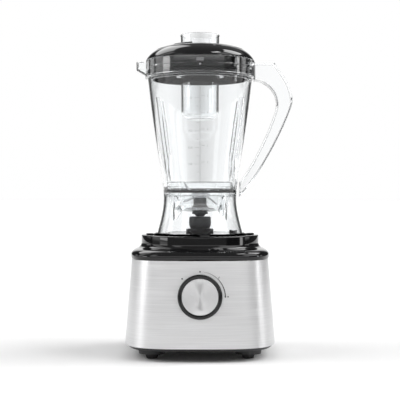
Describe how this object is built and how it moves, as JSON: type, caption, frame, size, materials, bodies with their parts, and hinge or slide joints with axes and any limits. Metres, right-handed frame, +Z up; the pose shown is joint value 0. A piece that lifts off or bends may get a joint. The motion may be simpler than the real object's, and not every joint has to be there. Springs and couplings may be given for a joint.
{
  "type": "countertop blender",
  "caption": "Countertop blender: clear tapering jug with handle, spout, lid and filler cup on a steel-clad motor base with a front speed knob.",
  "frame": {"origin": "middle of the bounding box on the plane that the four feet stand on; the drive axis is at x = -12.05 mm, y = 0.76 mm", "axes": "+Z up along the drive axis; the front with the knob faces -Y, the jug's handle +X and its spout -X"},
  "size_m": [0.2151, 0.2155, 0.4095],
  "materials": {
    "brushed_steel": "fine horizontal brushing",
    "gloss_black": "polished",
    "black_plastic": "fine texture",
    "black_rubber": "matt",
    "zinc_steel": "zinc plated",
    "knob_black": "semi-gloss",
    "spun_aluminium": "spun, fine circular lines",
    "board_green": "solder resist",
    "capacitor_yellow": "moulded",
    "lamination_steel": "oiled laminations",
    "enamelled_copper": "enamelled wire",
    "cast_aluminium": "die cast",
    "bearing_steel": "ground",
    "brush_holder_resin": "moulded resin",
    "carbon": "graphite",
    "commutator_copper": "turned",
    "white_plastic": "moulded",
    "coupling_grey": "moulded",
    "clear_plastic": "clear moulded plastic",
    "bush_bronze": "sintered bronze",
    "blade_steel": "ground edges"
  },
  "bodies": {
    "base": {"steel_skin": "brushed_steel", "main_housing": "black_plastic", "top_cover": "gloss_black", "bottom_cover": "black_plastic", "rear_panel": "black_plastic", "cord_gland": "black_rubber", "feet": "black_rubber", "base_screws": "zinc_steel", "cover_screws": "zinc_steel", "rotary_switch": "black_plastic", "switch_nut": "zinc_steel", "control_board": "board_green", "filter_capacitor": "capacitor_yellow", "motor_stator": "lamination_steel", "field_coils": "enamelled_copper", "upper_motor_bracket": "cast_aluminium", "lower_motor_bracket": "cast_aluminium", "motor_bolts": "zinc_steel", "motor_dampers": "black_rubber", "damper_screws": "zinc_steel", "upper_bearing": "bearing_steel", "lower_bearing": "bearing_steel", "brush_holders": "brush_holder_resin", "carbon_brushes": "carbon", "brush_springs": "bearing_steel"},
    "knob": {"knob_body": "knob_black", "knob_cap": "spun_aluminium", "switch_shaft": "zinc_steel"},
    "rotor": {"motor_shaft": "bearing_steel", "armature_core": "lamination_steel", "armature_windings": "enamelled_copper", "commutator": "commutator_copper", "cooling_fan": "white_plastic", "shaft_slinger": "black_rubber", "drive_coupling": "coupling_grey"},
    "blade_carrier": {"jug_base": "clear_plastic", "jug_gasket": "black_rubber", "bearing_housing": "coupling_grey", "bearing_nut": "coupling_grey", "shaft_seal": "black_rubber", "shaft_bushes": "bush_bronze"},
    "blades": {"blade_shaft": "blade_steel", "blade_hub": "coupling_grey", "upper_blade": "blade_steel", "middle_blade": "blade_steel", "lower_blade": "blade_steel", "blade_nut": "blade_steel", "driven_coupling": "coupling_grey"},
    "jug": {"jug_body": "clear_plastic"},
    "lid": {"lid": "gloss_black", "lid_seal": "black_rubber"},
    "cup": {"filler_cup": "clear_plastic"}
  },
  "joints": [
    {"name": "knob_turn", "type": "hinge", "parent": "base", "child": "knob", "pos_m": [-0.01205, -0.08918, 0.079], "axis": [0, 0.9968, -0.0799], "range_deg": [-45, 90]},
    {"name": "motor_spin", "type": "hinge", "parent": "base", "child": "rotor", "pos_m": [-0.01205, 0.00077, 0.1], "axis": [0, 0, 1], "continuous": true},
    {"name": "jug_lift", "type": "slide", "parent": "base", "child": "blade_carrier", "axis": [0, 0, 1], "range_m": [0, 0.06]},
    {"name": "blade_spin", "type": "hinge", "parent": "blade_carrier", "child": "blades", "pos_m": [-0.01205, 0.00077, 0.19], "axis": [0, 0, 1], "continuous": true},
    {"name": "jug_unscrew", "type": "hinge", "parent": "blade_carrier", "child": "jug", "pos_m": [-0.01205, 0.00077, 0.21], "axis": [0, 0, 1], "range_deg": [0, 60]},
    {"name": "lid_lift", "type": "slide", "parent": "jug", "child": "lid", "axis": [0, 0, 1], "range_m": [0, 0.08]},
    {"name": "cup_lift", "type": "slide", "parent": "lid", "child": "cup", "axis": [0, 0, 1], "range_m": [0, 0.1]}
  ],
  "couplings": [
    {"joint": "blade_spin", "follows": "motor_spin", "ratio": 1}
  ]
}
